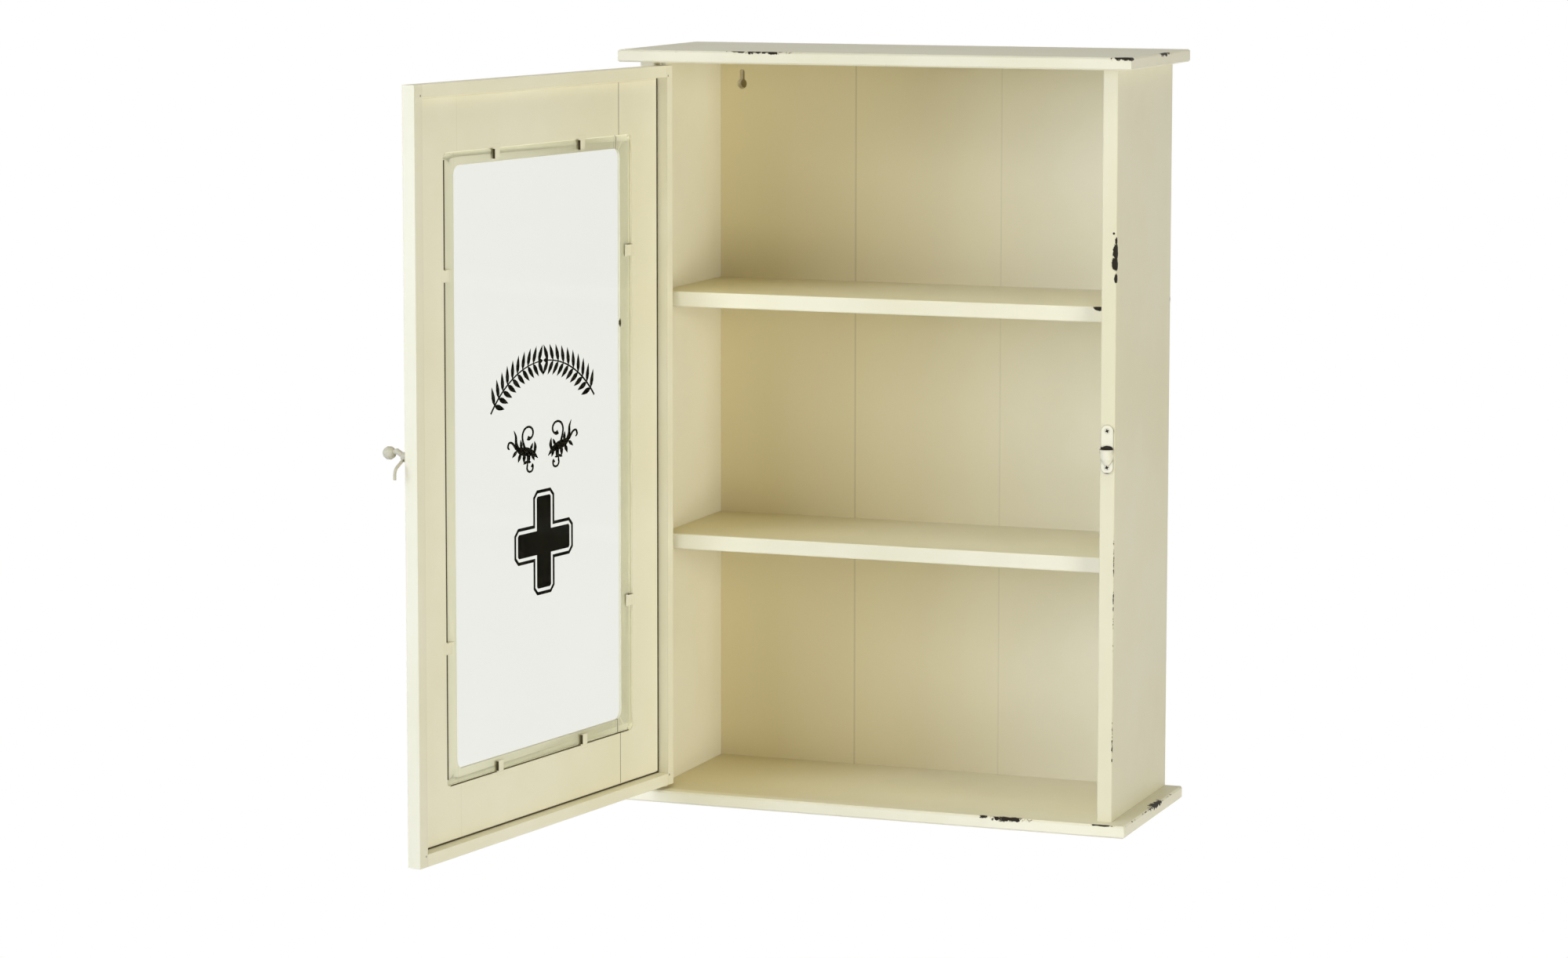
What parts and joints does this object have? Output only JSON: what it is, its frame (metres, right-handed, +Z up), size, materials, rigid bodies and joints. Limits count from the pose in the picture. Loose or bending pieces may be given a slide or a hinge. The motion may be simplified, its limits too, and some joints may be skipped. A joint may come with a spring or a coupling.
{
  "type": "medicine cabinet",
  "caption": "Painted wooden wall cabinet with fixed shelves behind an inset glazed door, which swings on concealed pivot pins and is held shut by a swan-neck drop latch.",
  "frame": {"origin": "middle of the back, on the wall plane", "axes": "+X to the cabinet's right as seen from the front, +Y into the wall, +Z up"},
  "size_m": [0.5076, 0.5559, 0.65],
  "materials": {
    "painted_wood": "cream paint, satin, worn at the edges",
    "dowel_wood": "bare",
    "glass": "clear with a printed ornament",
    "print": "black print on the glass",
    "latch_metal": "cream paint, worn",
    "tab_metal": "dull",
    "steel": "dull"
  },
  "bodies": {
    "cabinet": {"top_board": "painted_wood", "bottom_board": "painted_wood", "left_side": "painted_wood", "right_side": "painted_wood", "back_panel": "painted_wood", "upper_shelf": "painted_wood", "lower_shelf": "painted_wood", "carcass_dowels": "dowel_wood", "pivot_pins": "steel", "keeper": "latch_metal", "keeper_screws": "steel"},
    "door": {"hinge_strip": "painted_wood", "latch_strip": "painted_wood", "top_strip": "painted_wood", "bottom_strip": "painted_wood", "hinge_stile": "painted_wood", "latch_stile": "painted_wood", "top_rail": "painted_wood", "bottom_rail": "painted_wood", "glass_pane": "glass", "glazing_tabs": "tab_metal", "strip_nails": "steel", "latch_rosette": "latch_metal", "latch_pin": "steel"},
    "latch": {"latch_lever": "latch_metal"}
  },
  "joints": [
    {"name": "door_swing", "type": "hinge", "parent": "cabinet", "child": "door", "pos_m": [-0.1925, -0.1615, 0], "axis": [0, 0, -1], "range_deg": [-99, 2]},
    {"name": "latch_turn", "type": "hinge", "parent": "door", "child": "latch", "pos_m": [-0.25709, -0.54056, 0.0175], "axis": [-0.9877, 0.1564, 0], "range_deg": [-14, 50]}
  ]
}
